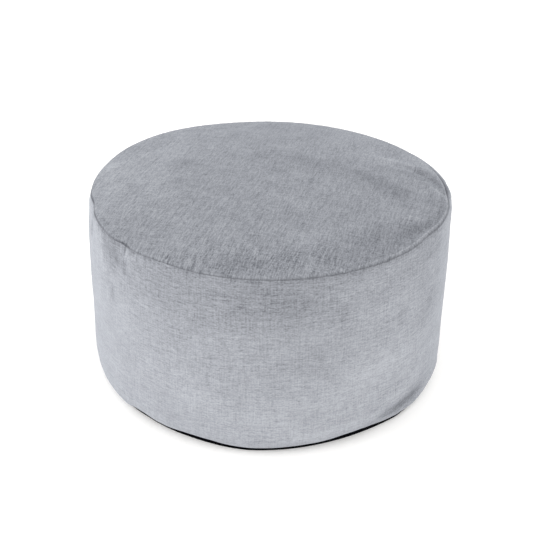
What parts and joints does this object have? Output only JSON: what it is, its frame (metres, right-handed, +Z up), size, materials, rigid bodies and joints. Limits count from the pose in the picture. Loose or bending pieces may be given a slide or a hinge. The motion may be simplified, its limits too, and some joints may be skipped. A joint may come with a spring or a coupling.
{
  "type": "round floor pouf",
  "caption": "Round cloth floor pouf: a crowned top panel, an upright side band over its filling, and a dark flat base.",
  "frame": {"origin": "centre of the underside, on the surface that the pouf stands on", "axes": "+Z up through the crown of the top, -Y towards the pictured front, +X to the right seen from the front"},
  "size_m": [0.6017, 0.6012, 0.329],
  "materials": {
    "top_cloth": "blue-grey slub chenille, soft nap",
    "band_cloth": "blue-grey slub chenille, soft nap",
    "base_cloth": "black plain woven cloth, matt"
  },
  "bodies": {
    "root": {"top_panel": "top_cloth", "side_band": "band_cloth", "base_panel": "base_cloth"}
  },
  "joints": []
}
